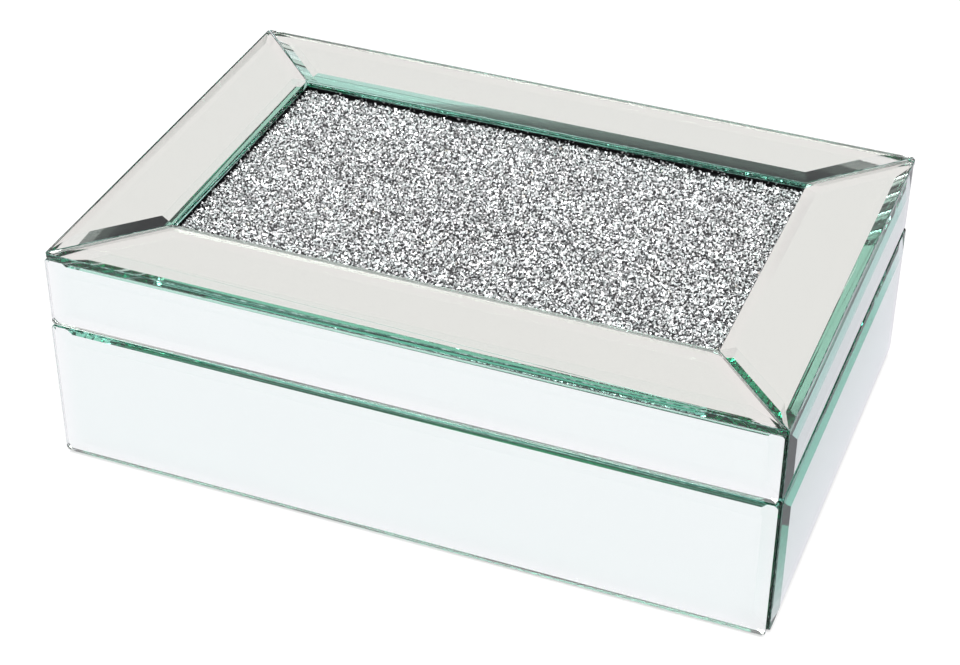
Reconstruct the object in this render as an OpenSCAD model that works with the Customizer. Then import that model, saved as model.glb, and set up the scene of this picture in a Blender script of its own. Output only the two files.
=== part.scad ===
// Mirrored trinket box: bevelled mirrors on a wooden carcass, a hinged lid with a mitred
// mirror frame around a bed of crushed crystal, and a velvet-lined compartment.
// Millimetres. Origin at the centre of the underside, +Z up, front towards -Y.

/* [Box] */
// Width over the side mirrors
box_w = 280; // [240:1:320]
// Depth over the front and back mirrors
box_d = 187; // [160:1:220]
// Height of the closed box
box_h = 93; // [88:1:110]
// Height of the base's top edge
base_h = 59.5; // [45:0.5:61.5]
// Gap between the base and the closed lid
seam_gap = 1.2; // [1.2:0.1:2]
// How far the lid's side mirrors stand back from the base's
lid_inset = 0.4; // [0:0.1:1]
// How far the lid's front and end mirrors hang down into the seam
mirror_hang = 0.8; // [0:0.1:1]

/* [Mirrors] */
// Thickness of the mirror glass
glass_t = 4; // [4:0.5:6]
// Width of the bevel round every mirror
bevel_w = 6; // [3:0.5:8]
// Depth that the bevel takes off the glass at its edge
bevel_drop = 1.3; // [0.8:0.1:2]
// How far each corner of the glass is ground back along its two edges
corner_blunt = 0.8; // [0.4:0.1:1.5]
// How far the frame stands back from the faces below it
edge_inset = 1.4; // [0.8:0.1:2]
// How far the ends of the long mirrors stand back from the faces beside them
end_inset = 1.4; // [1:0.1:2]
// How far the front mirrors sit to the left of the middle
front_shift = 0.9; // [0:0.1:1]
// Width of each strip of the frame on top of the lid
frame_w = 34; // [25:1:40]
// Gap left between neighbouring mirrors
mirror_gap = 0.2; // [0.1:0.1:0.4]

/* [Carcass] */
// Thickness of the wooden walls and rails
wall_t = 8; // [7:0.5:10]
// Thickness of the bottom board
bottom_t = 4; // [3:0.5:6]
// Thickness of the board under the mirror frame
lid_board_t = 6; // [5:0.5:8]
// Thickness of the felt under the base
felt_t = 1; // [0.5:0.5:2]
// How far the felt stands back from the edge of the bottom board
felt_margin = 2; // [1:0.5:6]

/* [Crystal panel] */
// Depth of the recess in the lid's board
recess_depth = 4; // [3:0.5:4.5]
// How far the recess runs under the mirror frame
recess_lip = 3; // [1:0.5:8]
// Thickness of the black sheet in the recess
tray_t = 1; // [0.5:0.5:1]
// Depth of the layer of crystal grains
crystal_t = 2; // [1:0.5:2]

/* [Lining] */
// Thickness of the velvet-covered card on the walls
lining_t = 1.5; // [1:0.5:3]
// Thickness of the velvet floor pad
pad_t = 4; // [3:0.5:8]
// Diameter of the clear bumpers on the rim
bumper_d = 6; // [4:0.5:7]

/* [Hinges] */
// Width of each butt hinge
hinge_w = 32; // [24:1:50]
// Distance of each hinge from the middle of the box
hinge_x = 80; // [40:1:100]
// Thickness of a hinge leaf
leaf_t = 0.5; // [0.4:0.1:0.5]
// Radius of the knuckles
knuckle_r = 1.7; // [1.5:0.1:2]
// Radius of the hinge pin
pin_r = 0.8; // [0.6:0.1:0.9]
// Radial running clearance on the pin
pin_clear = 0.05; // [0.02:0.01:0.1]
// Gap between the knuckles and the back mirrors
knuckle_gap = 0.4; // [0.3:0.1:1]
// Distance of each screw from the middle of its hinge
screw_x = 10; // [7:0.5:10]

/* [Hidden] */
$fn = 48;
SIDES = ["front", "back", "left", "right"];

// Half sizes of the base's carcass, behind its mirrors
base_hx = box_w / 2 - glass_t;
base_hy = box_d / 2 - glass_t;
// Half sizes of the lid's mirrors and of its carcass
lid_face_hx = box_w / 2 - lid_inset;
lid_face_hy = box_d / 2 - lid_inset;
lid_hx = lid_face_hx - glass_t;
lid_hy = lid_face_hy - glass_t;
// Half sizes of the mirror frame, outside and at its opening
frame_hx = box_w / 2 - edge_inset;
frame_hy = box_d / 2 - edge_inset;
opening_hx = frame_hx - frame_w;
opening_hy = frame_hy - frame_w;
// Half sizes of the recess for the crystals
recess_hx = opening_hx + recess_lip;
recess_hy = opening_hy + recess_lip;
// Heights
floor_z = felt_t + bottom_t;
lid_z = base_h + seam_gap;
frame_z = box_h - glass_t;
board_z = frame_z - lid_board_t;
tray_z = frame_z - recess_depth;
crystal_z = tray_z + tray_t;
lid_lining_z = board_z - lining_t;
// Turning axis of the lid, halfway up the seam and just behind the back mirrors
axis_y = box_d / 2 + knuckle_gap + knuckle_r;
axis_z = base_h + seam_gap / 2;
// Each hinge has two outer knuckles on the base leaf and one in the middle on the lid leaf
knuckle_space = 0.3;
outer_knuckle = 9.5;
middle_knuckle = hinge_w - 2 * outer_knuckle - 2 * knuckle_space;
// Rivet heads that keep the pin in
pin_head_r = 1.2;
pin_head_t = 0.4;
// Leaf depth, from the knuckles to the middle of the wooden wall
leaf_back_y = box_d / 2 - 0.3;
leaf_front_y = base_hy - wall_t + 1;
// Countersunk screws
screw_y = base_hy - wall_t / 2;
screw_head_r = 1.7;
screw_head_h = 0.8;
screw_shank_r = 0.8;
screw_length = 8;
screw_clear = 0.05;
// Sizes of small parts
bumper_h = seam_gap - 0.1;
card_gap = 0.1;
cut_over = 10;

function side_turn(side) =
    side == "front" ? 0 : side == "right" ? 90 : side == "back" ? 180 : -90;
function is_long(side) = side == "front" || side == "back";
function rectangle(half_length, height) = [
    [-half_length, 0], [half_length, 0], [half_length, height], [-half_length, height]
];

// The point at the given distance from start towards end
function step_towards(start, end, distance) =
    start + (end - start) * distance / norm(end - start);

// An outline with each corner cut off
function blunted(outline) = [
    for (i = [0 : len(outline) - 1], neighbour = [len(outline) - 1, 1])
        step_towards(outline[i], outline[(i + neighbour) % len(outline)], corner_blunt)
];

// A wedge that bevels the edge running from one outline point to the next
module bevel_cut(start, end) {
    run = end - start;
    slope = bevel_drop / bevel_w;
    translate([start[0], start[1], 0])
        rotate([0, 0, atan2(run[1], run[0])])
            translate([-cut_over, 0, 0])
                rotate([90, 0, 90])
                    linear_extrude(norm(run) + 2 * cut_over)
                        polygon([
                            [-1, glass_t - bevel_drop - slope],
                            [bevel_w, glass_t],
                            [bevel_w, glass_t + 1],
                            [-1, glass_t + 1]
                        ]);
}

// A mirror lying face up, bevelled along every edge of its anticlockwise outline
module bevelled_mirror(outline) {
    difference() {
        linear_extrude(glass_t)
            polygon(blunted(outline));
        for (i = [0 : len(outline) - 1])
            bevel_cut(outline[i], outline[(i + 1) % len(outline)]);
    }
}

// A mirror standing on one side of the box, its face at the given distance from the middle
module upright_mirror(side, distance, half_length, low_z, high_z) {
    color("aliceblue")
        rotate([0, 0, side_turn(side)])
            translate([0, glass_t - distance, low_z])
                rotate([90, 0, 0])
                    bevelled_mirror(rectangle(half_length, high_z - low_z));
}

// The front and back mirrors cover the ends of the side mirrors
module side_mirror(side, face_hx, face_hy, low_z, high_z) {
    if (is_long(side))
        translate([side == "front" ? -front_shift : 0, 0, 0])
            upright_mirror(side, face_hy, face_hx - end_inset, low_z, high_z);
    else
        upright_mirror(side, face_hx, face_hy - glass_t - mirror_gap, low_z, high_z);
}

module base_mirror(side) {
    side_mirror(side, box_w / 2, box_d / 2, felt_t, base_h);
}

// The back mirror stays above the hinge leaves
module lid_mirror(side) {
    low_z = side == "back" ? lid_z : lid_z - mirror_hang;
    side_mirror(side, lid_face_hx, lid_face_hy, low_z, frame_z - 0.05);
}

// One mitred strip of the frame on top of the lid
module frame_mirror(side) {
    half_length = is_long(side) ? frame_hx : frame_hy;
    half_depth = is_long(side) ? frame_hy : frame_hx;
    color("aliceblue")
        rotate([0, 0, side_turn(side)])
            translate([0, 0, frame_z])
                bevelled_mirror([
                    [mirror_gap - half_length, -half_depth],
                    [half_length - mirror_gap, -half_depth],
                    [half_length - frame_w - mirror_gap, frame_w - half_depth],
                    [mirror_gap + frame_w - half_length, frame_w - half_depth]
                ]);
}

// A board along one side of a box of the given half sizes; the long ones cover the short ones
module side_board(side, hx, hy, thickness, low_z, high_z) {
    half_length = is_long(side) ? hx : hy - thickness;
    distance = is_long(side) ? hy : hx;
    rotate([0, 0, side_turn(side)])
        translate([-half_length, -distance, low_z])
            cube([2 * half_length, thickness, high_z - low_z]);
}

module flat_board(hx, hy, low_z, thickness) {
    translate([-hx, -hy, low_z])
        cube([2 * hx, 2 * hy, thickness]);
}

// Countersunk screws, heads up, in pairs on both hinges; grow widens them into their holes
module screws(grow) {
    for (hinge = [-hinge_x, hinge_x], offset = [-screw_x, screw_x])
        translate([hinge + offset, screw_y, -grow])
            rotate_extrude()
                polygon([
                    [0, -screw_length],
                    [screw_shank_r + grow, -screw_length],
                    [screw_shank_r + grow, -screw_head_h],
                    [screw_head_r + grow, 0],
                    [screw_head_r + grow, grow],
                    [0, grow]
                ]);
}

module base_screws(grow) {
    translate([0, 0, base_h + leaf_t])
        screws(grow);
}

module lid_screws(grow) {
    translate([0, 0, lid_z - leaf_t])
        mirror([0, 0, 1])
            screws(grow);
}

module base_wall(side) {
    color("gray")
        difference() {
            side_board(side, base_hx, base_hy, wall_t, floor_z, base_h);
            if (side == "back")
                base_screws(screw_clear);
        }
}

module lid_rail(side) {
    color("gray")
        difference() {
            side_board(side, lid_hx, lid_hy, wall_t, lid_z, board_z);
            if (side == "back")
                lid_screws(screw_clear);
        }
}

module base_lining(side) {
    color("lightgray")
        side_board(side, base_hx - wall_t, base_hy - wall_t, lining_t, floor_z, base_h - 0.5);
}

module lid_lining(side) {
    color("lightgray")
        side_board(side, lid_hx - wall_t, lid_hy - wall_t, lining_t, lid_z + 0.5, lid_lining_z);
}

module felt_base() {
    color("dimgray")
        flat_board(base_hx - felt_margin, base_hy - felt_margin, 0, felt_t);
}

module bottom_board() {
    color("tan")
        flat_board(base_hx, base_hy, felt_t, bottom_t);
}

module floor_pad() {
    inset = wall_t + lining_t + 2 * card_gap;
    color("lightgray")
        flat_board(base_hx - inset, base_hy - inset, floor_z, pad_t);
}

module rim_bumpers() {
    color("whitesmoke")
        for (x = [-1, 1], y = [-1, 1])
            translate([x * (base_hx - wall_t / 2), y * (base_hy - wall_t / 2), base_h])
                cylinder(h = bumper_h, r = bumper_d / 2);
}

module lid_board() {
    color("black")
        difference() {
            flat_board(lid_hx, lid_hy, board_z, lid_board_t);
            flat_board(recess_hx, recess_hy, tray_z, recess_depth + 1);
        }
}

module crystal_tray() {
    color("silver")
        flat_board(recess_hx - card_gap, recess_hy - card_gap, tray_z, tray_t);
}

module crystal_bed() {
    color("gainsboro")
        flat_board(recess_hx - card_gap, recess_hy - card_gap, crystal_z, crystal_t);
}

module lid_lining_panel() {
    inset = wall_t + card_gap;
    color("lightgray")
        flat_board(lid_hx - inset, lid_hy - inset, lid_lining_z, lining_t);
}

// A rod along the lid's turning axis, centred on x
module axis_rod(x, length, radius) {
    translate([x - length / 2, axis_y, axis_z])
        rotate([0, 90, 0])
            cylinder(h = length, r = radius);
}

// A leaf with its plate at low_z and a knuckle, with its tab, for each [offset, length] given
module hinge_leaf(hinge, low_z, knuckles) {
    difference() {
        union() {
            translate([hinge - hinge_w / 2, leaf_front_y, low_z])
                cube([hinge_w, leaf_back_y - leaf_front_y, leaf_t]);
            for (knuckle = knuckles) {
                translate([hinge + knuckle[0] - knuckle[1] / 2, leaf_back_y - 1, low_z])
                    cube([knuckle[1], axis_y - leaf_back_y + 1, leaf_t]);
                axis_rod(hinge + knuckle[0], knuckle[1], knuckle_r);
            }
        }
        axis_rod(hinge, hinge_w + 2, pin_r + pin_clear);
    }
}

module hinge_base_leaf(hinge) {
    offset = (hinge_w - outer_knuckle) / 2;
    color("silver")
        difference() {
            hinge_leaf(hinge, base_h, [[-offset, outer_knuckle], [offset, outer_knuckle]]);
            base_screws(screw_clear);
        }
}

module hinge_lid_leaf(hinge) {
    color("silver")
        difference() {
            hinge_leaf(hinge, lid_z - leaf_t, [[0, middle_knuckle]]);
            lid_screws(screw_clear);
        }
}

module hinge_pin(hinge) {
    color("gainsboro") {
        axis_rod(hinge, hinge_w + 0.2, pin_r);
        for (end = [-1, 1])
            axis_rod(hinge + end * (hinge_w / 2 + 0.1 + pin_head_t / 2), pin_head_t, pin_head_r);
    }
}

module hinge_base_screws() {
    color("silver")
        base_screws(0);
}

module hinge_lid_screws() {
    color("silver")
        lid_screws(0);
}

felt_base();
bottom_board();
for (side = SIDES) {
    base_wall(side);
    base_mirror(side);
    base_lining(side);
    lid_rail(side);
    lid_mirror(side);
    frame_mirror(side);
    lid_lining(side);
}
floor_pad();
rim_bumpers();
hinge_base_leaf(-hinge_x);  // hinge_base_leaf_left
hinge_base_leaf(hinge_x);  // hinge_base_leaf_right
hinge_pin(-hinge_x);  // hinge_pin_left
hinge_pin(hinge_x);  // hinge_pin_right
hinge_base_screws();
lid_board();
crystal_tray();
crystal_bed();
lid_lining_panel();
hinge_lid_leaf(-hinge_x);  // hinge_lid_leaf_left
hinge_lid_leaf(hinge_x);  // hinge_lid_leaf_right
hinge_lid_screws();
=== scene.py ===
import math

import bmesh
import bpy
import numpy as np
from mathutils import Matrix, Vector, noise


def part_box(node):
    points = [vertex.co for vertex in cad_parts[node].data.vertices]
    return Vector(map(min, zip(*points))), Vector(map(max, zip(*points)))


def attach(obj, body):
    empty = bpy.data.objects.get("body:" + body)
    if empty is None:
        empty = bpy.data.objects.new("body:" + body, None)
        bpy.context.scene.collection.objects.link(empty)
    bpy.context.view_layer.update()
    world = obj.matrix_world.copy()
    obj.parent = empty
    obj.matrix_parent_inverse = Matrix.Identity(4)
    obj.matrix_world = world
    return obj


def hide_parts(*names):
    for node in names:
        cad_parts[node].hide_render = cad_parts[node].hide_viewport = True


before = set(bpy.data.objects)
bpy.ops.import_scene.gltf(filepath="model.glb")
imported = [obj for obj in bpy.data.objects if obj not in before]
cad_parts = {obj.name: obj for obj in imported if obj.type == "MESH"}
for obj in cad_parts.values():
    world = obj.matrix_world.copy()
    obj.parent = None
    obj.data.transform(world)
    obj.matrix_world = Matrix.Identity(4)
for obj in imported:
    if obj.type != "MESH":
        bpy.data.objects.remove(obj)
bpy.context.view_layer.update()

MM = 0.001
SIDES = ("front", "right", "back", "left")
TURN = {"front": 0, "right": 90, "back": 180, "left": -90}
# Each bevel's width, and its slope in degrees
UPRIGHT_BEVEL = (6.5 * MM, 12.0)
# The upper bevels of the upright mirrors, by body and by whether the mirror is a long one
UPPER_BEVELS = {
    ("base", True): (5.6 * MM, 12.0), ("base", False): (6.5 * MM, 12.0),
    ("lid", True): (5.0 * MM, 10.3), ("lid", False): (7.5 * MM, 11.0),
}
FRAME_BEVEL = (5.4 * MM, 12.4)
FRAME_OUTER_BEVELS = {
    "front": (6.8 * MM, 12.0), "right": (5.6 * MM, 14.1),
    "back": (5.4 * MM, 14.0), "left": (5.4 * MM, 14.0),
}
CORNER_R = 1.2 * MM
# Corners sharper than twice this angle, in degrees, get the smaller radius
SHARP_HALF = 40
TIP_R = 0.4 * MM
ARRIS = 0.25 * MM
SILVER_T = 0.06 * MM
SILVER_GAP = 0.03 * MM
SILVER_MARGIN = 0.15 * MM
MITRE_GAP = 0.2 * MM
GLASS_IOR = 1.52
GLASS_GREEN = (0.14, 0.744, 0.59, 1.0)
GLASS_DENSITY = 22.5
LIGHT_BOUNCES = 96


# ---------------------------------------------------------------- materials

class Nodes:
    """A material's or a world's node tree, with short ways to add nodes to it."""

    def __init__(self, name, owners=None):
        self.material = (bpy.data.materials if owners is None else owners).new(name)
        self.material.use_nodes = True
        self.tree = self.material.node_tree
        self.shader = self.tree.nodes.get("Principled BSDF")
        self.out = self.tree.nodes.get("Material Output")
        self.coordinates = self.tree.nodes.new("ShaderNodeTexCoord")
        self.place = self.coordinates.outputs["Object"]

    def link(self, source, target):
        self.tree.links.new(source, target)

    def node(self, kind, inputs=(), **settings):
        made = self.tree.nodes.new(kind)
        for key, value in settings.items():
            setattr(made, key, value)
        for key, value in dict(inputs).items():
            if isinstance(value, bpy.types.NodeSocket):
                self.link(value, made.inputs[key])
            else:
                made.inputs[key].default_value = value
        return made

    def scaled(self, factors):
        return self.node(
            "ShaderNodeMapping", {"Vector": self.place, "Scale": factors}
        ).outputs["Vector"]

    def noise(self, scale, detail=3.0, roughness=0.55, vector=None, distortion=0.0):
        return self.node(
            "ShaderNodeTexNoise",
            {
                "Vector": vector or self.place,
                "Scale": scale,
                "Detail": detail,
                "Roughness": roughness,
                "Distortion": distortion,
            },
        ).outputs["Fac"]

    def voronoi(self, scale):
        return self.node(
            "ShaderNodeTexVoronoi", {"Vector": self.place, "Scale": scale}
        ).outputs["Distance"]

    def attribute(self, name, output="Fac"):
        return self.node("ShaderNodeAttribute", attribute_name=name).outputs[output]

    def span(self, value, low, high, to_low, to_high, kind="LINEAR"):
        return self.node(
            "ShaderNodeMapRange",
            {
                "Value": value,
                "From Min": low,
                "From Max": high,
                "To Min": to_low,
                "To Max": to_high,
            },
            interpolation_type=kind,
        ).outputs["Result"]

    def seen_directly(self):
        return self.node("ShaderNodeLightPath").outputs["Is Camera Ray"]

    def math(self, operation, a, b=0.0):
        return self.node(
            "ShaderNodeMath", {0: a, 1: b}, operation=operation
        ).outputs[0]

    def ramp(self, value, stops):
        made = self.node("ShaderNodeValToRGB", {"Fac": value})
        band = made.color_ramp
        while len(band.elements) < len(stops):
            band.elements.new(0.5)
        for element, (position, colour) in zip(band.elements, stops):
            element.position = position
            element.color = (*colour, 1.0)
        return made.outputs["Color"]

    def mix(self, factor, a, b):
        made = self.tree.nodes.new("ShaderNodeMix")
        made.data_type = "RGBA"
        for socket, value in (
            (made.inputs[0], factor), (made.inputs[6], a), (made.inputs[7], b)
        ):
            if isinstance(value, bpy.types.NodeSocket):
                self.link(value, socket)
            elif isinstance(value, tuple):
                socket.default_value = (*value, 1.0)
            else:
                socket.default_value = value
        return made.outputs[2]

    def bump(self, height, strength, distance):
        return self.node(
            "ShaderNodeBump", {"Height": height, "Strength": strength, "Distance": distance}
        ).outputs["Normal"]

    def surface(self, **values):
        for key, value in values.items():
            socket = self.shader.inputs[key.replace("_", " ")]
            if isinstance(value, bpy.types.NodeSocket):
                self.link(value, socket)
            elif isinstance(value, tuple):
                socket.default_value = (*value, 1.0)
            else:
                socket.default_value = value
        return self.material


def glass_material():
    """Polished float glass, green through its thickness, with the faintest wipe marks."""
    n = Nodes("float_glass")
    wipe = n.noise(9.0, 4.0, vector=n.scaled((1.0, 1.0, 3.0)))
    absorption = n.tree.nodes.new("ShaderNodeVolumeAbsorption")
    absorption.inputs["Color"].default_value = GLASS_GREEN
    absorption.inputs["Density"].default_value = GLASS_DENSITY
    n.link(absorption.outputs["Volume"], n.out.inputs["Volume"])
    return n.surface(
        Base_Color=(1.0, 1.0, 1.0),
        Transmission_Weight=1.0,
        IOR=GLASS_IOR,
        Roughness=n.span(wipe, 0.62, 0.8, 0.0, 0.012),
    )


def painted_shade_arris_material():
    """The stone-ground arris of a mirror, deep green: painted shade for the seams and painted green
    light of the glass edge, here and there polished or chipped pale.
    """
    n = Nodes("ground_arris_painted_shade")
    chip = n.noise(450.0, 4.0, 0.65)
    return n.surface(
        Base_Color=n.ramp(chip, [(0.45, (0.015, 0.075, 0.055)), (0.68, (0.25, 0.36, 0.33))]),
        Roughness=n.span(chip, 0.3, 0.7, 0.18, 0.5),
        Coat_Weight=0.3,
    )


def silver_material():
    """The silvering behind the glass."""
    n = Nodes("silvering")
    cloud = n.noise(14.0, 5.0)
    return n.surface(
        Base_Color=n.mix(cloud, (0.97, 0.955, 0.92), (0.955, 0.94, 0.905)),
        Metallic=1.0,
        Roughness=n.span(n.noise(60.0), 0.4, 0.9, 0.0, 0.01),
    )


def backing_material():
    """Grey protective paint on the back of the silvering."""
    n = Nodes("mirror_backing")
    grain = n.noise(900.0, 4.0)
    return n.surface(
        Base_Color=n.ramp(grain, [(0.3, (0.10, 0.11, 0.115)), (0.7, (0.15, 0.16, 0.165))]),
        Roughness=n.span(grain, 0.3, 0.7, 0.5, 0.7),
    )


def crystal_material():
    """Broken silvered glass: each facet has its own brightness."""
    n = Nodes("crushed_crystal")
    return n.surface(
        Base_Color=n.attribute("tone", "Color"),
        Metallic=n.span(n.attribute("tone"), 0.1, 0.9, 0.3, 0.5),
        Roughness=n.span(n.noise(2500.0, 2.0), 0.3, 0.7, 0.04, 0.2),
        Coat_Weight=0.5,
        Coat_Roughness=0.03,
    )


def painted_wood_material():
    """Satin grey paint over fine-grained board: rolled stipple and a few specks."""
    n = Nodes("painted_wood")
    cloud = n.noise(16.0, 4.0)
    stipple = n.noise(1300.0, 3.0)
    grain = n.noise(160.0, 4.0, vector=n.scaled((0.12, 0.12, 1.0)))
    speck = n.span(n.voronoi(420.0), 0.0, 0.09, 1.0, 0.0)
    tone = n.ramp(cloud, [(0.3, (0.375, 0.385, 0.40)), (0.7, (0.445, 0.455, 0.465))])
    height = n.math("ADD", stipple, n.math("MULTIPLY", grain, 0.6))
    return n.surface(
        Base_Color=n.mix(n.math("MULTIPLY", speck, 0.35), tone, (0.24, 0.24, 0.25)),
        Roughness=n.span(stipple, 0.3, 0.7, 0.34, 0.5),
        Normal=n.bump(height, 0.35, 0.00012),
    )


def fibre_material(name, dark, light, gloss_low, gloss_high):
    """Pressed fibreboard: short matted fibres over a cloudy ground."""
    n = Nodes(name)
    cloud = n.noise(35.0, 4.0)
    fibre = n.noise(900.0, 5.0, 0.7, n.scaled((1.0, 0.25, 1.0)), 1.5)
    mixed = n.math("ADD", n.math("MULTIPLY", cloud, 0.45), n.math("MULTIPLY", fibre, 0.55))
    return n.surface(
        Base_Color=n.ramp(mixed, [(0.35, dark), (0.65, light)]),
        Roughness=n.span(fibre, 0.3, 0.7, gloss_low, gloss_high),
        Normal=n.bump(fibre, 0.5, 0.0001),
    )


def velvet_material():
    """Short-pile dove-grey velvet, stroked lighter and darker in patches."""
    n = Nodes("velvet")
    nap = n.noise(20.0, 3.0, 0.5, distortion=0.8)
    stroke = n.noise(75.0, 2.0, 0.5, n.scaled((1.0, 0.35, 0.6)), 0.6)
    pile = n.noise(4200.0, 2.0, 0.7)
    lay = n.math("ADD", n.math("MULTIPLY", nap, 0.6), n.math("MULTIPLY", stroke, 0.4))
    tone = n.ramp(lay, [(0.36, (0.235, 0.24, 0.26)), (0.64, (0.37, 0.38, 0.40))])
    return n.surface(
        Base_Color=n.mix(n.span(pile, 0.3, 0.7, 0.0, 0.55), tone, (0.17, 0.175, 0.19)),
        Roughness=n.span(pile, 0.3, 0.7, 0.8, 1.0),
        Specular_IOR_Level=0.15,
        Sheen_Weight=0.7,
        Sheen_Roughness=0.4,
        Sheen_Tint=(0.86, 0.88, 0.92),
        Normal=n.bump(n.math("ADD", pile, n.math("MULTIPLY", lay, 0.8)), 0.6, 0.0003),
    )


def felt_material():
    """Charcoal felt: matted fibres with paler flecks."""
    n = Nodes("felt")
    mat = n.noise(1500.0, 5.0, 0.75, distortion=2.0)
    fleck = n.span(n.voronoi(900.0), 0.0, 0.12, 1.0, 0.0)
    tone = n.ramp(mat, [(0.35, (0.02, 0.02, 0.022)), (0.7, (0.06, 0.06, 0.065))])
    return n.surface(
        Base_Color=n.mix(n.math("MULTIPLY", fleck, 0.3), tone, (0.16, 0.16, 0.17)),
        Roughness=n.span(mat, 0.3, 0.7, 0.85, 1.0),
        Specular_IOR_Level=0.1,
        Sheen_Weight=0.3,
        Sheen_Roughness=0.5,
        Normal=n.bump(mat, 0.8, 0.0003),
    )


def plated_material(name, colour, along):
    """Plated metal, finely brushed along an axis, with a slight haze."""
    n = Nodes(name)
    brush = n.noise(5000.0, 3.0, 0.6, n.scaled(along))
    haze = n.noise(120.0, 4.0)
    worn = tuple(0.86 * level for level in colour)
    return n.surface(
        Base_Color=n.mix(n.span(haze, 0.35, 0.75, 0.0, 1.0), colour, worn),
        Metallic=1.0,
        Roughness=n.math(
            "ADD", n.span(brush, 0.3, 0.7, 0.08, 0.2), n.span(haze, 0.4, 0.7, 0.0, 0.08)
        ),
        Normal=n.bump(brush, 0.15, 0.00003),
    )


def bumper_material():
    """Clear soft polyurethane with a slightly dusty skin."""
    n = Nodes("clear_bumper")
    dust = n.noise(700.0, 4.0)
    return n.surface(
        Base_Color=n.ramp(dust, [(0.3, (0.93, 0.95, 0.95)), (0.7, (0.84, 0.86, 0.86))]),
        Transmission_Weight=0.9,
        IOR=1.49,
        Roughness=n.span(dust, 0.3, 0.75, 0.06, 0.28),
        Normal=n.bump(dust, 0.2, 0.00005),
    )


def painted_shade_tray_material():
    """The sheet that the grains are glued to, painted near-black as shade between the grains and under
    the frame, blotched with clear glue.
    """
    n = Nodes("tray_sheet")
    glue = n.noise(500.0, 4.0)
    return n.surface(
        Base_Color=n.ramp(glue, [(0.3, (0.008, 0.009, 0.01)), (0.7, (0.028, 0.03, 0.032))]),
        Roughness=n.span(glue, 0.3, 0.7, 0.25, 0.6),
        Normal=n.bump(glue, 0.5, 0.0002),
    )


# ------------------------------------------------------------- building help

def add(name, mesh, body, slot, *materials):
    """A new piece that rides on a body."""
    piece = bpy.data.objects.new(name, mesh)
    bpy.context.scene.collection.objects.link(piece)
    for material in materials:
        mesh.materials.append(material)
    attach(piece, body)
    return piece


def local_box(node, turn):
    """A node's box, turned so that its side of the box faces the front."""
    spin = Matrix.Rotation(math.radians(-turn), 3, "Z")
    corners = [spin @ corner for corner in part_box(node)]
    low = Vector([min(c[i] for c in corners) for i in range(3)])
    high = Vector([max(c[i] for c in corners) for i in range(3)])
    return low, high


def rounded(outline, radius, steps=6):
    """The outline with each corner rounded, sharp tips less: a list of points for each corner."""
    blunt, corners = radius, []
    for i, point in enumerate(outline):
        before = (outline[i - 1] - point).normalized()
        after = (outline[(i + 1) % len(outline)] - point).normalized()
        half = before.angle(after) / 2
        radius = blunt if half > math.radians(SHARP_HALF) else min(blunt, TIP_R)
        centre = point + (before + after).normalized() * radius / math.sin(half)
        start = point + before * radius / math.tan(half) - centre
        end = point + after * radius / math.tan(half) - centre
        a0 = math.atan2(start.y, start.x)
        sweep = (math.atan2(end.y, end.x) - a0 + math.pi) % (2 * math.pi) - math.pi
        angles = [a0 + sweep * s / steps for s in range(steps + 1)]
        corners.append([centre + radius * Vector((math.cos(a), math.sin(a))) for a in angles])
    return corners


def inset(outline, distances):
    """The outline with each edge moved inwards by its own distance."""
    lines = []
    for i, point in enumerate(outline):
        run = (outline[(i + 1) % len(outline)] - point).normalized()
        lines.append((point + Vector((-run.y, run.x)) * distances[i], run))
    made = []
    for i in range(len(outline)):
        (p, r), (q, s) = lines[i - 1], lines[i]
        t = ((q - p).x * s.y - (q - p).y * s.x) / (r.x * s.y - r.y * s.x)
        made.append(p + r * t)
    return made


def line_distance(point, start, end):
    run = (end - start).normalized()
    return run.x * (point - start).y - run.y * (point - start).x


def glass_mesh(name, outline, thickness, back, bevels):
    """A mirror's glass, face up between the heights back and thickness, with a bevel on each edge."""
    outline = [Vector(p) for p in outline]
    flat = inset(outline, [width for width, slope in bevels])
    corners = rounded(outline, CORNER_R)
    count = len(outline)

    def height(point, i):
        width, slope = bevels[i]
        near = line_distance(point, outline[i], outline[(i + 1) % count])
        return thickness - (width - max(near, 0.0)) * math.tan(math.radians(slope))

    def lowest(point):
        return min(height(point, i) for i in range(count))

    def ridge(i):
        """Where along a corner's arc its two bevels meet."""
        return min(
            range(len(corners[i])),
            key=lambda k: abs(height(corners[i][k], i) - height(corners[i][k], i - 1)),
        )

    bm = bmesh.new()
    top = [[bm.verts.new((*p, lowest(p))) for p in arc] for arc in corners]
    low = [[bm.verts.new((*p, back)) for p in arc] for arc in corners]
    face = [bm.verts.new((*p, thickness)) for p in flat]
    bm.faces.new(face)
    ring_top = [v for arc in top for v in arc]
    ring_low = [v for arc in low for v in arc]
    bm.faces.new(list(reversed(ring_low)))
    for i in range(count):
        j = (i + 1) % count
        bm.faces.new(top[i][ridge(i):] + top[j][:ridge(j) + 1] + [face[j], face[i]])
    for i in range(len(ring_top)):
        j = (i + 1) % len(ring_top)
        bm.faces.new((ring_low[i], ring_low[j], ring_top[j], ring_top[i]))
    rims = [e for e in bm.edges if all(v in set(ring_top) for v in e.verts)]
    rims += [e for e in bm.edges if all(v in set(ring_low) for v in e.verts)]
    seams = bmesh.ops.bevel(
        bm, geom=rims, offset=ARRIS, segments=1, affect="EDGES", clamp_overlap=True
    )
    for seam in seams["faces"]:
        # The arris takes the second material, whose deep green is painted shade and painted green
        # glass light.
        seam.material_index = 1
    bmesh.ops.recalc_face_normals(bm, faces=bm.faces)
    mesh = bpy.data.meshes.new(name)
    bm.to_mesh(mesh)
    bm.free()
    return mesh


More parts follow.
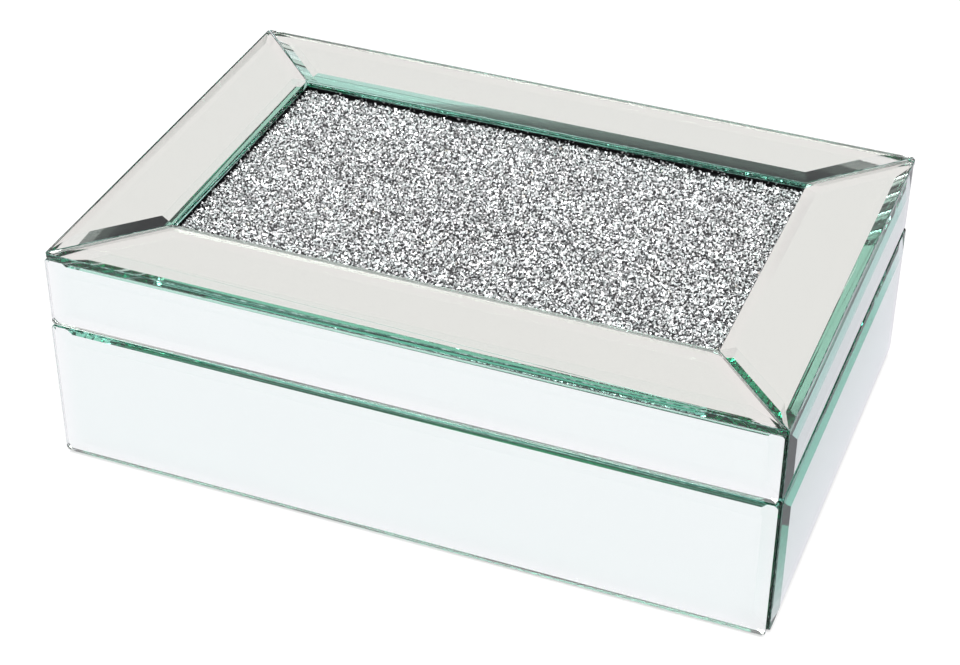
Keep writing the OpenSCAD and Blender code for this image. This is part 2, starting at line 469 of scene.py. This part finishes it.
def slab_mesh(name, outline, low, high, radius):
    """A flat slab with rounded corners. Its upper face takes the first material, the rest the next."""
    ring = [p for arc in rounded([Vector(p) for p in outline], radius) for p in arc]
    bm = bmesh.new()
    upper = [bm.verts.new((*p, high)) for p in ring]
    lower = [bm.verts.new((*p, low)) for p in ring]
    bm.faces.new(upper)
    rest = [bm.faces.new(list(reversed(lower)))]
    for i in range(len(ring)):
        j = (i + 1) % len(ring)
        rest.append(bm.faces.new((lower[i], lower[j], upper[j], upper[i])))
    for f in rest:
        f.material_index = 1
    mesh = bpy.data.meshes.new(name)
    bm.to_mesh(mesh)
    bm.free()
    return mesh


# ------------------------------------------------------------------ mirrors

GLASS = glass_material()
ARRIS_PAINTED_SHADE = painted_shade_arris_material()
SILVER = silver_material()
BACKING = backing_material()


def mirror(node, body, outline, matrix, thickness, bevels):
    """The glass and the silvering that stand for one CAD mirror."""
    mesh = glass_mesh(node + "_glass", outline, thickness, SILVER_T + SILVER_GAP, bevels)
    mesh.transform(matrix)
    glass = add(node + "_glass", mesh, body, "mirror_glass", GLASS, ARRIS_PAINTED_SHADE)
    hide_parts(node)
    shrunk = inset([Vector(p) for p in outline], [SILVER_MARGIN] * len(outline))
    mesh = slab_mesh(node + "_silver", shrunk, 0.0, SILVER_T, CORNER_R)
    mesh.transform(matrix)
    silver = add(node + "_silver", mesh, body, "mirror_glass", SILVER, BACKING)
    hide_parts(node)


def upright_mirror(node, body, side):
    """A side mirror, its outline drawn from the lower left corner of its outer face."""
    low, high = local_box(node, TURN[side])
    height = high.z - low.z
    thickness = high.y - low.y
    matrix = (
        Matrix.Rotation(math.radians(TURN[side]), 4, "Z")
        @ Matrix.Translation((0, high.y, low.z))
        @ Matrix.Rotation(math.radians(90), 4, "X")
    )
    outline = [(low.x, 0), (high.x, 0), (high.x, height), (low.x, height)]
    upper = UPPER_BEVELS[body, side in ("front", "back")]
    bevels = (UPRIGHT_BEVEL, UPRIGHT_BEVEL, upper, UPRIGHT_BEVEL)
    mirror(node, body, outline, matrix, thickness, bevels)


def frame_mirror(node, body, side):
    """A mitred strip round the lid's top, its outline drawn from the outer edge."""
    low, high = local_box(node, TURN[side])
    width = high.y - low.y
    half = (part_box("frame_mirror_right")[1].x if side in ("front", "back")
            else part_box("frame_mirror_back")[1].y) - MITRE_GAP
    matrix = (
        Matrix.Rotation(math.radians(TURN[side]), 4, "Z")
        @ Matrix.Translation((0, 0, low.z))
    )
    outline = [
        (-half, low.y), (half, low.y), (half - width, high.y), (width - half, high.y)
    ]
    bevels = (FRAME_OUTER_BEVELS[side], FRAME_BEVEL, FRAME_BEVEL, FRAME_BEVEL)
    mirror(node, body, outline, matrix, high.z - low.z, bevels)


for side in SIDES:
    upright_mirror("base_mirror_" + side, "base", side)
    upright_mirror("lid_mirror_" + side, "lid", side)
    frame_mirror("frame_mirror_" + side, "lid", side)


# ----------------------------------------------------------------- crystals

GRAIN_PITCH = 0.92 * MM
GRAIN_SIZES = (0.42 * MM, 0.82 * MM)
GRAIN_SHAPES = 80
GRAIN_SEED = 7
GRAIN_LEVELS = (0.25, 1.75)
FACET_LEVELS = (0.75, 1.1)
# Shares of the grains: left under the mirrors, and with a warm glint painted into their colour
HIDDEN_SHARE, PAINTED_GLINT_SHARE = 0.12, 0.002
PAINTED_GLINT_WARMTH = 0.12
UNDER_FRAME = 0.2 * MM
CRYSTAL = crystal_material()


def grain_shapes(rng):
    """Irregular convex lumps about 1 across from the middle, as points and faces."""
    shapes = []
    for _ in range(GRAIN_SHAPES):
        bm = bmesh.new()
        for _ in range(int(rng.integers(5, 8))):
            direction = rng.normal(size=3)
            direction /= np.linalg.norm(direction)
            bm.verts.new(direction * rng.uniform(0.8, 1.1))
        bmesh.ops.convex_hull(bm, input=bm.verts)
        loose = [v for v in bm.verts if not v.link_faces]
        bmesh.ops.delete(bm, geom=loose, context="VERTS")
        bm.verts.index_update()
        shapes.append((
            np.array([v.co for v in bm.verts]), [[v.index for v in f.verts] for f in bm.faces]
        ))
        bm.free()
    return shapes


def crystal_grains(name, rng, shapes, low, high, edge):
    """Grains packed between two corners. Past the edge, under the mirrors, only a few are left."""
    columns = round((high.x - low.x) / GRAIN_PITCH)
    rows = round((high.y - low.y) / GRAIN_PITCH)
    verts, faces, tones = [], [], []
    for i in range(columns * rows):
        column, row = i % columns, i // columns
        x = low.x + (column + rng.uniform(0.1, 0.9)) * GRAIN_PITCH
        y = low.y + (row + rng.uniform(0.1, 0.9)) * GRAIN_PITCH
        beyond = max(abs(x) - edge.x, abs(y) - edge.y)
        if beyond > 0 and rng.random() > HIDDEN_SHARE:
            continue
        points, sides = shapes[int(rng.integers(len(shapes)))]
        turn = rng.uniform(0, 2 * math.pi)
        c, s = math.cos(turn), math.sin(turn)
        placed = points * rng.uniform(0.75, 1.25, 3) * rng.uniform(*GRAIN_SIZES)
        placed = placed @ np.array([[c, s, 0], [-s, c, 0], [0, 0, 1]])
        placed = placed + [x, y, low.z + rng.uniform(0.25, 0.68) * (high.z - low.z)]
        placed = np.clip(placed, low, high)
        start = len(verts)
        verts.extend(placed.tolist())
        bright = rng.uniform(*GRAIN_LEVELS)
        # A few grains get a warm tint in their colour: a painted glint.
        glint_tint = PAINTED_GLINT_WARMTH if rng.random() < PAINTED_GLINT_SHARE else 0.0
        for side in sides:
            faces.append([start + k for k in side])
            level = float(np.clip(bright * rng.uniform(*FACET_LEVELS), 0.04, 1.0))
            tones.append((
                level * (rng.uniform(0.91, 0.97) + glint_tint),
                level * rng.uniform(0.99, 1.0),
                level * (rng.uniform(0.97, 1.0) - glint_tint),
                1.0,
            ))
    mesh = bpy.data.meshes.new(name)
    mesh.from_pydata(verts, [], faces)
    layer = mesh.attributes.new("tone", "BYTE_COLOR", "CORNER")
    spread = np.repeat(np.clip(tones, 0, 1), [len(f) for f in faces], axis=0)
    layer.data.foreach_set("color", spread.astype(np.float32).ravel())
    piece = add(name, mesh, "lid", "crushed_crystal", CRYSTAL)
    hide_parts("crystal_bed")


def crystal_bed():
    """The grains, in two pieces so that each stays light enough to export whole."""
    low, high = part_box("crystal_bed")
    edge = Vector((
        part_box("frame_mirror_right")[0].x + UNDER_FRAME,
        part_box("frame_mirror_back")[0].y + UNDER_FRAME,
    ))
    rng = np.random.default_rng(GRAIN_SEED)
    shapes = grain_shapes(rng)
    middle = (low.x + high.x) / 2
    left_high = Vector((middle, high.y, high.z))
    crystal_grains("crystal_grains_left", rng, shapes, low, left_high, edge)
    right_low = Vector((middle, low.y, low.z))
    crystal_grains("crystal_grains_right", rng, shapes, right_low, high, edge)


crystal_bed()


# ------------------------------------------------------- carcass and hinges

WOOD_EASE, SHEET_EASE, PLATE_EASE = 0.35 * MM, 0.2 * MM, 0.12 * MM
PAINTED = painted_wood_material()
CHROME = plated_material("hinge_chrome", (0.80, 0.81, 0.82), (0.03, 1.0, 1.0))
STEEL = plated_material("screw_steel", (0.72, 0.73, 0.74), (1.0, 1.0, 1.0))


def finish_node(node, material, edge):
    """A CAD node that stays: its material, and its edges eased by a bevel."""
    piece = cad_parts[node]
    piece.data.materials.clear()
    piece.data.materials.append(material)
    eased = piece.modifiers.new("eased_edges", "BEVEL")
    eased.width = edge
    eased.segments = 3
    eased.limit_method = "ANGLE"
    eased.angle_limit = math.radians(40)


for side in SIDES:
    finish_node("base_wall_" + side, PAINTED, WOOD_EASE)
    finish_node("lid_rail_" + side, PAINTED, WOOD_EASE)
finish_node("bottom_board", fibre_material(
    "fibreboard", (0.30, 0.20, 0.12), (0.55, 0.42, 0.29), 0.6, 0.8), SHEET_EASE)
# The lid board is painted near-black, as shade in the recess under the frame mirrors.
finish_node("lid_board", fibre_material(
    "black_board", (0.006, 0.006, 0.007), (0.016, 0.016, 0.018), 0.6, 0.9), SHEET_EASE)
# The crystal tray is painted near-black: painted shade between and around the grains.
finish_node("crystal_tray", painted_shade_tray_material(), 0.1 * MM)
for hand in ("left", "right"):
    finish_node("hinge_base_leaf_" + hand, CHROME, PLATE_EASE)
    finish_node("hinge_lid_leaf_" + hand, CHROME, PLATE_EASE)
    finish_node("hinge_pin_" + hand, CHROME, 0.15 * MM)


def lathe(bm, rings, around, place, radius_of):
    """Joins rings of points into a skin. radius_of(ring, angle) gives radius and height."""
    grid = []
    for ring in rings:
        row = []
        for k in range(around):
            angle = 2 * math.pi * k / around
            radius, height = radius_of(ring, angle)
            row.append(bm.verts.new(
                place @ Vector((radius * math.cos(angle), radius * math.sin(angle), height))
            ))
        grid.append(row)
    for first, second in zip(grid, grid[1:]):
        for k in range(around):
            j = (k + 1) % around
            bm.faces.new((first[k], first[j], second[j], second[k]))
    bm.faces.new(list(reversed(grid[0])))
    bm.faces.new(grid[-1])


def smooth(mesh, angle=35):
    """Shades a mesh smooth except across edges sharper than the angle."""
    for face in mesh.polygons:
        face.use_smooth = True
    mesh.set_sharp_from_angle(angle=math.radians(angle))
    return mesh


HEAD_H = 0.8 * MM
HEAD_LAND = 0.08 * MM
SHANK_R = 0.8 * MM
THREAD_DEPTH = 0.22 * MM
THREAD_PITCH = 0.9 * MM
RECESS = {"arm": 0.95 * MM, "half": 0.2 * MM, "wall": 0.08 * MM, "depth": 0.62 * MM}


def screw(bm, place, head_r, length):
    """A countersunk cross-recess screw, its head's top at height 0 and its point at -length."""
    def outline(ring, angle):
        kind, t = ring
        if kind == "shank":
            height = -length + t * (length - HEAD_H)
            turn = (height / THREAD_PITCH - angle / (2 * math.pi)) % 1.0
            ridge = max(0.0, 1 - abs(turn - 0.5) * 4)
            taper = min(1.0, 0.15 + t * 5)
            return (SHANK_R - THREAD_DEPTH * (1 - ridge)) * taper, height
        if kind == "cone":
            return SHANK_R + (head_r - SHANK_R) * t, -HEAD_H * (1 - t) - HEAD_LAND * t
        radius = (head_r - HEAD_LAND) * (1 - t)
        x, y = abs(radius * math.cos(angle)), abs(radius * math.sin(angle))
        reach, across = max(x, y), min(x, y)
        inside = min(1.0, max(0.0, (RECESS["half"] - across) / RECESS["wall"] + 0.5))
        along = max(0.0, 1 - reach / RECESS["arm"])
        return max(radius, 0.02 * MM), -RECESS["depth"] * inside * min(1.0, along * 1.6)

    rings = [("shank", k / 64) for k in range(65)]
    rings += [("cone", k / 4) for k in range(1, 5)]
    rings += [("top", k / 22) for k in range(23)]
    lathe(bm, rings, 48, place, outline)


def hinge_screws(node, body, head_up):
    """The four screws of one body, two in each hinge, each left at its own angle."""
    low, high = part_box(node)
    head_r = (high.y - low.y) / 2
    outer = high.x - head_r
    hinge_low, hinge_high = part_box("hinge_base_leaf_right")
    inner = hinge_low.x + hinge_high.x - outer
    y = (low.y + high.y) / 2
    bm = bmesh.new()
    for i, x in enumerate((-outer, -inner, inner, outer)):
        turn = Matrix.Rotation(0.4 + 1.1 * i, 4, "Z")
        if head_up:
            place = Matrix.Translation((x, y, high.z)) @ turn
        else:
            place = Matrix.Translation((x, y, low.z)) @ Matrix.Rotation(math.pi, 4, "X") @ turn
        screw(bm, place, head_r, high.z - low.z)
    bmesh.ops.recalc_face_normals(bm, faces=bm.faces)
    mesh = bpy.data.meshes.new(node + "_turned")
    bm.to_mesh(mesh)
    bm.free()
    piece = add(node + "_turned", smooth(mesh), body, "screw_steel", STEEL)
    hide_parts(node)


hinge_screws("hinge_base_screws", "base", True)
hinge_screws("hinge_lid_screws", "lid", False)

BUMPER_R = 3.0 * MM
BUMPER_SKIRT = 0.1


def rim_bumpers():
    """Four clear domes on the base's rim."""
    low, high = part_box("rim_bumpers")
    height = high.z - low.z
    skirt = 0.25 * height

    def outline(t, angle):
        if t < BUMPER_SKIRT:
            return BUMPER_R * (0.97 + 0.3 * t), t / BUMPER_SKIRT * skirt
        bow = (t - BUMPER_SKIRT) / (1 - BUMPER_SKIRT) * math.pi / 2
        return BUMPER_R * math.cos(bow) ** 0.7 + 1e-5, skirt + (height - skirt) * math.sin(bow)

    bm = bmesh.new()
    for x in (low.x + BUMPER_R, high.x - BUMPER_R):
        for y in (low.y + BUMPER_R, high.y - BUMPER_R):
            place = Matrix.Translation((x, y, low.z))
            lathe(bm, [k / 14 for k in range(15)], 48, place, outline)
    bmesh.ops.recalc_face_normals(bm, faces=bm.faces)
    mesh = bpy.data.meshes.new("bumper_domes")
    bm.to_mesh(mesh)
    bm.free()
    piece = add("bumper_domes", smooth(mesh), "base", "clear_bumper", bumper_material())
    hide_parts("rim_bumpers")


rim_bumpers()


# ------------------------------------------------------------ felt and velvet

LINING_R, LINING_RIPPLE, LINING_STEP = 0.7 * MM, 0.12 * MM, 3.0 * MM
FELT_R, FELT_RIPPLE, FELT_GRAIN = 0.35 * MM, 0.1 * MM, 150.0
VELVET = velvet_material()


def stations(length, radius, step):
    """Places along a side: close together over the rounded edges, then a step apart."""
    curve = [radius * (1 - math.cos(math.pi / 2 * k / 4)) for k in range(5)]
    count = max(1, round((length - 2 * radius) / step))
    inside = [radius + (length - 2 * radius) * k / count for k in range(1, count)]
    return curve + inside + [length - place for place in reversed(curve)]


def edge_fall(near, radius):
    """How far a rounded edge lies below the face at a distance from the side."""
    reach = max(0.0, radius - near)
    return radius - math.sqrt(max(0.0, radius * radius - reach * reach))


def soft_panel(name, low, high, facing, radius, ripple, step, size=60.0):
    """A covered panel that fills a box: its edges rounded on the side it faces, its face uneven.

    A larger size makes the unevenness finer.
    """
    facing = Vector(facing)
    axis = max(range(3), key=lambda i: abs(facing[i]))
    across = Vector([1.0 if i == (axis + 1) % 3 else 0.0 for i in range(3)])
    along = facing.cross(across)
    extent, centre = high - low, (low + high) / 2
    width, length, depth = (abs(extent.dot(v)) for v in (across, along, facing))
    columns, rows = stations(width, radius, step), stations(length, radius, step)
    bm = bmesh.new()

    def point(a, b, h):
        return bm.verts.new(
            centre + across * (a - width / 2) + along * (b - length / 2) + facing * (h - depth / 2)
        )

    face, back = [], []
    for a in columns:
        line = []
        for b in rows:
            fall = edge_fall(min(a, width - a), radius) + edge_fall(min(b, length - b), radius)
            fall = min(fall, radius)
            spot = (centre + across * (a - width / 2) + along * (b - length / 2)) * size
            uneven = ripple * (0.5 + 0.5 * noise.noise(spot)) * (1 - fall / radius)
            line.append(point(a, b, depth - fall - uneven))
        face.append(line)
    last, end = len(columns) - 1, len(rows) - 1
    rim = [(i, 0) for i in range(last)] + [(last, j) for j in range(end)]
    rim += [(i, end) for i in range(last, 0, -1)] + [(0, j) for j in range(end, 0, -1)]
    for i, j in rim:
        back.append(point(columns[i], rows[j], 0.0))
    for i in range(last):
        for j in range(end):
            bm.faces.new((face[i][j], face[i + 1][j], face[i + 1][j + 1], face[i][j + 1]))
    for k, (i, j) in enumerate(rim):
        m = (k + 1) % len(rim)
        bm.faces.new((face[i][j], back[k], back[m], face[rim[m][0]][rim[m][1]]))
    bm.faces.new(list(reversed(back)))
    bmesh.ops.recalc_face_normals(bm, faces=bm.faces)
    mesh = bpy.data.meshes.new(name)
    bm.to_mesh(mesh)
    bm.free()
    return smooth(mesh, 60)


INWARD = {"front": (0, 1, 0), "right": (-1, 0, 0), "back": (0, -1, 0), "left": (1, 0, 0)}


def lining(node, body, facing):
    low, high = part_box(node)
    mesh = soft_panel(node + "_velvet", low, high, facing, LINING_R, LINING_RIPPLE, LINING_STEP)
    piece = add(node + "_velvet", mesh, body, "velvet", VELVET)
    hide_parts(node)


for side in SIDES:
    lining("base_lining_" + side, "base", INWARD[side])
    lining("lid_lining_" + side, "lid", INWARD[side])
lining("lid_lining_panel", "lid", (0, 0, -1))



def felt_sheet():
    low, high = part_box("felt_base")
    mesh = soft_panel(
        "felt_sheet", low, high, (0, 0, -1), FELT_R, FELT_RIPPLE, LINING_STEP, FELT_GRAIN
    )
    piece = add("felt_sheet", mesh, "base", "felt", felt_material())
    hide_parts("felt_base")


felt_sheet()

PAD_R, PAD_RIPPLE, PAD_STEP, PAD_GRAIN = 1.4 * MM, 0.25 * MM, 4.0 * MM, 30.0
PAD_VOXEL = 2.0 * MM
# How far the pad starts inside its box, how far it may swell, and how deep its held skin is
PAD_START = 0.9 * MM
PAD_SWELL = 0.8 * MM
PAD_HELD = 0.3 * MM
PAD_PRESSURE = 4.0
PAD_TENSION, PAD_BENDING = 8.0, 0.4
PAD_FRAMES = 20


def inflate(piece, low, high):
    """Blows the pad up from a thin start, held down along its underside, and settles it in its box."""
    mesh = piece.data
    remesh = piece.modifiers.new("remesh", "REMESH")
    remesh.mode = "VOXEL"
    remesh.voxel_size = PAD_VOXEL
    apply_modifiers(piece)
    start = np.empty(len(piece.data.vertices) * 3, np.float32)
    piece.data.vertices.foreach_get("co", start)
    start = start.reshape(-1, 3)
    held = piece.vertex_groups.new(name="held")
    floor = start[:, 2].min() + PAD_HELD
    held.add([i for i in range(len(start)) if start[i, 2] < floor], 1.0, "REPLACE")
    cloth = piece.modifiers.new("cloth", "CLOTH")
    cloth.settings.vertex_group_mass = "held"
    cloth.settings.use_pressure = True
    cloth.settings.uniform_pressure_force = PAD_PRESSURE
    cloth.settings.effector_weights.gravity = 0.0
    cloth.settings.tension_stiffness = PAD_TENSION
    cloth.settings.bending_stiffness = PAD_BENDING
    cloth.point_cache.frame_start = 1
    cloth.point_cache.frame_end = PAD_FRAMES
    for number in range(1, PAD_FRAMES + 1):
        bpy.context.scene.frame_set(number)
    apply_modifiers(piece)
    moved = np.empty(len(start) * 3, np.float32)
    piece.data.vertices.foreach_get("co", moved)
    moved = start + np.clip(moved.reshape(-1, 3) - start, -PAD_SWELL, PAD_SWELL)
    moved = np.clip(moved, low, high)
    piece.data.vertices.foreach_set("co", moved.ravel())
    bpy.context.scene.frame_set(1)
    if mesh.users == 0:
        bpy.data.meshes.remove(mesh)


def apply_modifiers(piece):
    """Bakes a piece's modifiers into its mesh."""
    graph = bpy.context.evaluated_depsgraph_get()
    baked = bpy.data.meshes.new_from_object(piece.evaluated_get(graph))
    piece.modifiers.clear()
    piece.data = baked


def floor_pad():
    """The velvet pad on the compartment's floor."""
    low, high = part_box("floor_pad")
    inward = Vector((PAD_START, PAD_START, 0.0))
    top = high - inward - Vector((0, 0, PAD_START))
    mesh = soft_panel(
        "floor_pad_velvet", low + inward, top, (0, 0, 1), PAD_R, PAD_RIPPLE, PAD_STEP, PAD_GRAIN
    )
    piece = add("floor_pad_velvet", mesh, "base", "velvet", VELVET)
    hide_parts("floor_pad")
    inflate(piece, low, high)
    rounder = piece.modifiers.new("rounder", "SUBSURF")
    rounder.levels = rounder.render_levels = 1
    smooth(piece.data, 60)


floor_pad()


# -------------------------------------------------------------------- stage

# The studio's light, behind the box and before it, from the floor up. Each pair of heights is the
# sine of the angle above the horizon at which one level begins to turn into the next.
BEHIND_DARK = (0.012, 0.018, 0.02)
BEFORE_GREY = (0.50, 0.48, 0.50)
SCRIM_BEHIND = (0.96, 0.86, 0.885)
CARD_BEFORE = (0.80, 0.77, 0.78)
DIM_BEFORE = (0.28, 0.27, 0.28)
KEY = (13.0, 12.8, 12.9)
DARK_TOP, SCRIM_LOW = math.sin(math.radians(13.5)), math.sin(math.radians(17.0))
CARD_TOP, DIM_LOW = math.sin(math.radians(35.4)), math.sin(math.radians(36.6))
KEY_LOW, KEY_TOP = math.sin(math.radians(48.3)), math.sin(math.radians(60))
BEFORE_END, BEHIND_START = -0.5, 0.1
KEY_FRONT, KEY_BACK = -0.22, -0.10
# The table's light as the mirrors see it, dimmer past the box's right side, and as the camera does
TABLE_MIRRORED = (0.92, 0.865, 0.945)
TABLE_DIM, DIM_FROM, DIM_TO = 0.66, 0.12, 0.17
TABLE_SEEN = (0.93, 0.93, 0.93)
CONTACT_SHADE = 1.2 * MM
BLACK, WHITE = (0.0, 0.0, 0.0), (1.0, 1.0, 1.0)
FLOOR_R = 6.0
# The camera's place and aim in millimetres, its roll in degrees and its lens
EYE, AIM = (254.82, -661.96, 541.68), (-2.67, -7.44, 36.72)
ROLL = 0.343
LENS, SENSOR = 84.22, 36.0


def floor_material():
    """A pale table, with a thin shade where the box meets it."""
    n = Nodes("floor")
    x = n.node("ShaderNodeSeparateXYZ", {0: n.place}).outputs["X"]
    dim = n.span(x, DIM_FROM, DIM_TO, 1.0, TABLE_DIM, "SMOOTHSTEP")
    mirrored = n.mix(dim, BLACK, TABLE_MIRRORED)
    open_sky = n.node("ShaderNodeAmbientOcclusion", {"Distance": CONTACT_SHADE}).outputs["AO"]
    direct = n.mix(open_sky, BLACK, TABLE_SEEN)
    return n.surface(
        Base_Color=(0.08, 0.08, 0.08),
        Roughness=0.9,
        Specular_IOR_Level=0.0,
        Emission_Color=n.mix(n.seen_directly(), mirrored, direct),
        Emission_Strength=1.0,
    )


def studio():
    """White scrims all round, a soft key light high in front, and a dark room low down behind."""
    n = Nodes("studio", bpy.data.worlds)
    direction = n.node("ShaderNodeSeparateXYZ", {0: n.coordinates.outputs["Generated"]})
    height, depth = direction.outputs["Z"], direction.outputs["Y"]
    behind = n.span(depth, BEFORE_END, BEHIND_START, 0.0, 1.0, "SMOOTHSTEP")
    low = n.mix(behind, BEFORE_GREY, BEHIND_DARK)
    above_card = n.span(height, CARD_TOP, DIM_LOW, 0.0, 1.0, "SMOOTHSTEP")
    ahead = n.mix(above_card, CARD_BEFORE, DIM_BEFORE)
    scrim = n.mix(behind, ahead, SCRIM_BEHIND)
    lit = n.mix(n.span(height, DARK_TOP, SCRIM_LOW, 0.0, 1.0, "SMOOTHSTEP"), low, scrim)
    high = n.span(height, KEY_LOW, KEY_TOP, 0.0, 1.0, "SMOOTHSTEP")
    before = n.span(depth, KEY_FRONT, KEY_BACK, 1.0, 0.0, "SMOOTHSTEP")
    light = n.mix(n.math("MULTIPLY", high, before), lit, KEY)
    background = n.tree.nodes["Background"]
    n.link(n.mix(n.seen_directly(), light, WHITE), background.inputs["Color"])
    return n.material


def stage():
    bm = bmesh.new()
    bmesh.ops.create_circle(bm, cap_ends=True, radius=FLOOR_R, segments=96)
    mesh = bpy.data.meshes.new("floor")
    bm.to_mesh(mesh)
    bm.free()
    floor = bpy.data.objects.new("floor", mesh)
    bpy.context.scene.collection.objects.link(floor)
    mesh.materials.append(floor_material())
    bpy.context.scene.world = studio()


def camera():
    """A long lens at the front right, looking down at the box."""
    data = bpy.data.cameras.new("camera")
    data.sensor_width = SENSOR
    data.lens = LENS
    data.clip_start = 0.01
    eye, aim = Vector(EYE) * MM, Vector(AIM) * MM
    roll = math.radians(ROLL)
    facing = (aim - eye).to_track_quat("-Z", "Y").to_matrix().to_4x4()
    seen = bpy.data.objects.new("camera", data)
    bpy.context.scene.collection.objects.link(seen)
    seen.matrix_world = (
        Matrix.Translation(eye) @ facing @ Matrix.Rotation(roll, 4, "Z")
    )
    bpy.context.scene.camera = seen


stage()
camera()
bpy.context.scene.view_settings.view_transform = "Standard"
cycles = bpy.context.scene.cycles
cycles.max_bounces = cycles.glossy_bounces = cycles.transmission_bounces = LIGHT_BOUNCES
